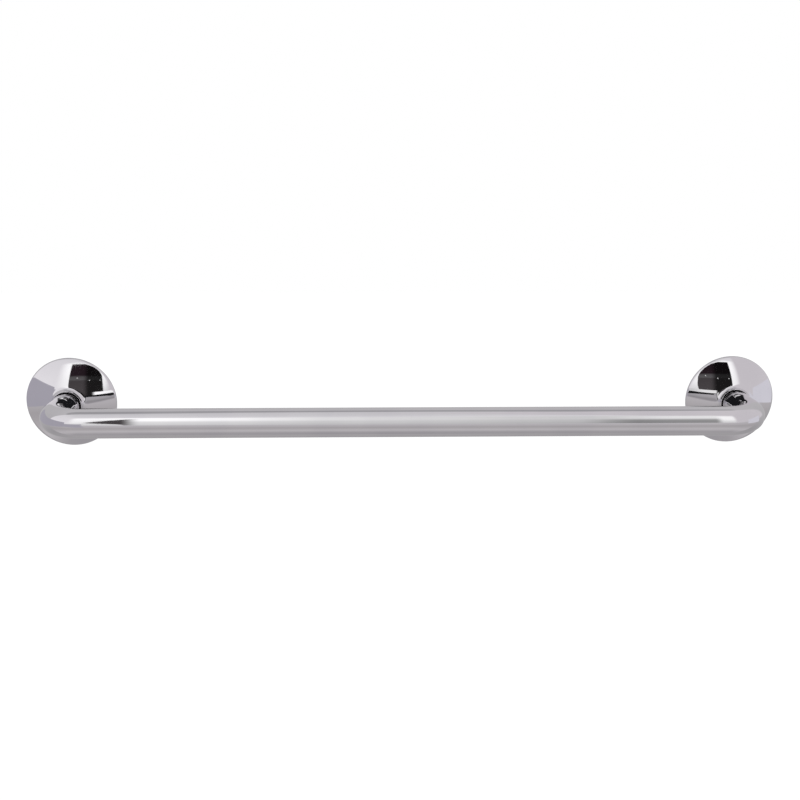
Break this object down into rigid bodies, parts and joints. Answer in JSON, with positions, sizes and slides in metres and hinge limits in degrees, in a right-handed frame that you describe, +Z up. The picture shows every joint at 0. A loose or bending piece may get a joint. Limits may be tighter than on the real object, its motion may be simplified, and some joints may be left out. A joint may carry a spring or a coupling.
{
  "type": "grab rail",
  "caption": "Straight wall-mounted grab rail: a bent round tube between two round flanges, each hidden by a domed cover that slides along its leg.",
  "frame": {"origin": "on the face of the wall, midway between the axes of the two legs", "axes": "+X along the rail, +Y into the wall, square to its face, and +Z up"},
  "size_m": [0.681, 0.1272, 0.081],
  "materials": {
    "polished_chrome": "polished chrome plate",
    "ring_rubber": "moulded black rubber",
    "plate_steel": "brushed stainless steel",
    "screw_steel": "bright zinc-plated steel",
    "plug_nylon": "moulded grey nylon"
  },
  "bodies": {
    "rail": {"rail_tube": "polished_chrome", "left_flange_plate": "plate_steel", "right_flange_plate": "plate_steel", "left_screw_outer": "screw_steel", "left_screw_upper": "screw_steel", "left_screw_lower": "screw_steel", "right_screw_outer": "screw_steel", "right_screw_upper": "screw_steel", "right_screw_lower": "screw_steel", "left_wall_plug_outer": "plug_nylon", "left_wall_plug_upper": "plug_nylon", "left_wall_plug_lower": "plug_nylon", "right_wall_plug_outer": "plug_nylon", "right_wall_plug_upper": "plug_nylon", "right_wall_plug_lower": "plug_nylon"},
    "left_grip_ring": {"left_grip_ring": "ring_rubber"},
    "left_cover": {"left_cover": "polished_chrome"},
    "right_grip_ring": {"right_grip_ring": "ring_rubber"},
    "right_cover": {"right_cover": "polished_chrome"}
  },
  "joints": [
    {"name": "left_cover_slide", "type": "slide", "parent": "rail", "child": "left_grip_ring", "axis": [0, -1, 0], "range_m": [0, 0.0305]},
    {"name": "left_cover_turn", "type": "hinge", "parent": "left_grip_ring", "child": "left_cover", "pos_m": [-0.3, 0, 0], "axis": [0, -1, 0], "continuous": true},
    {"name": "right_cover_slide", "type": "slide", "parent": "rail", "child": "right_grip_ring", "axis": [0, -1, 0], "range_m": [0, 0.0305]},
    {"name": "right_cover_turn", "type": "hinge", "parent": "right_grip_ring", "child": "right_cover", "pos_m": [0.3, 0, 0], "axis": [0, -1, 0], "continuous": true}
  ]
}
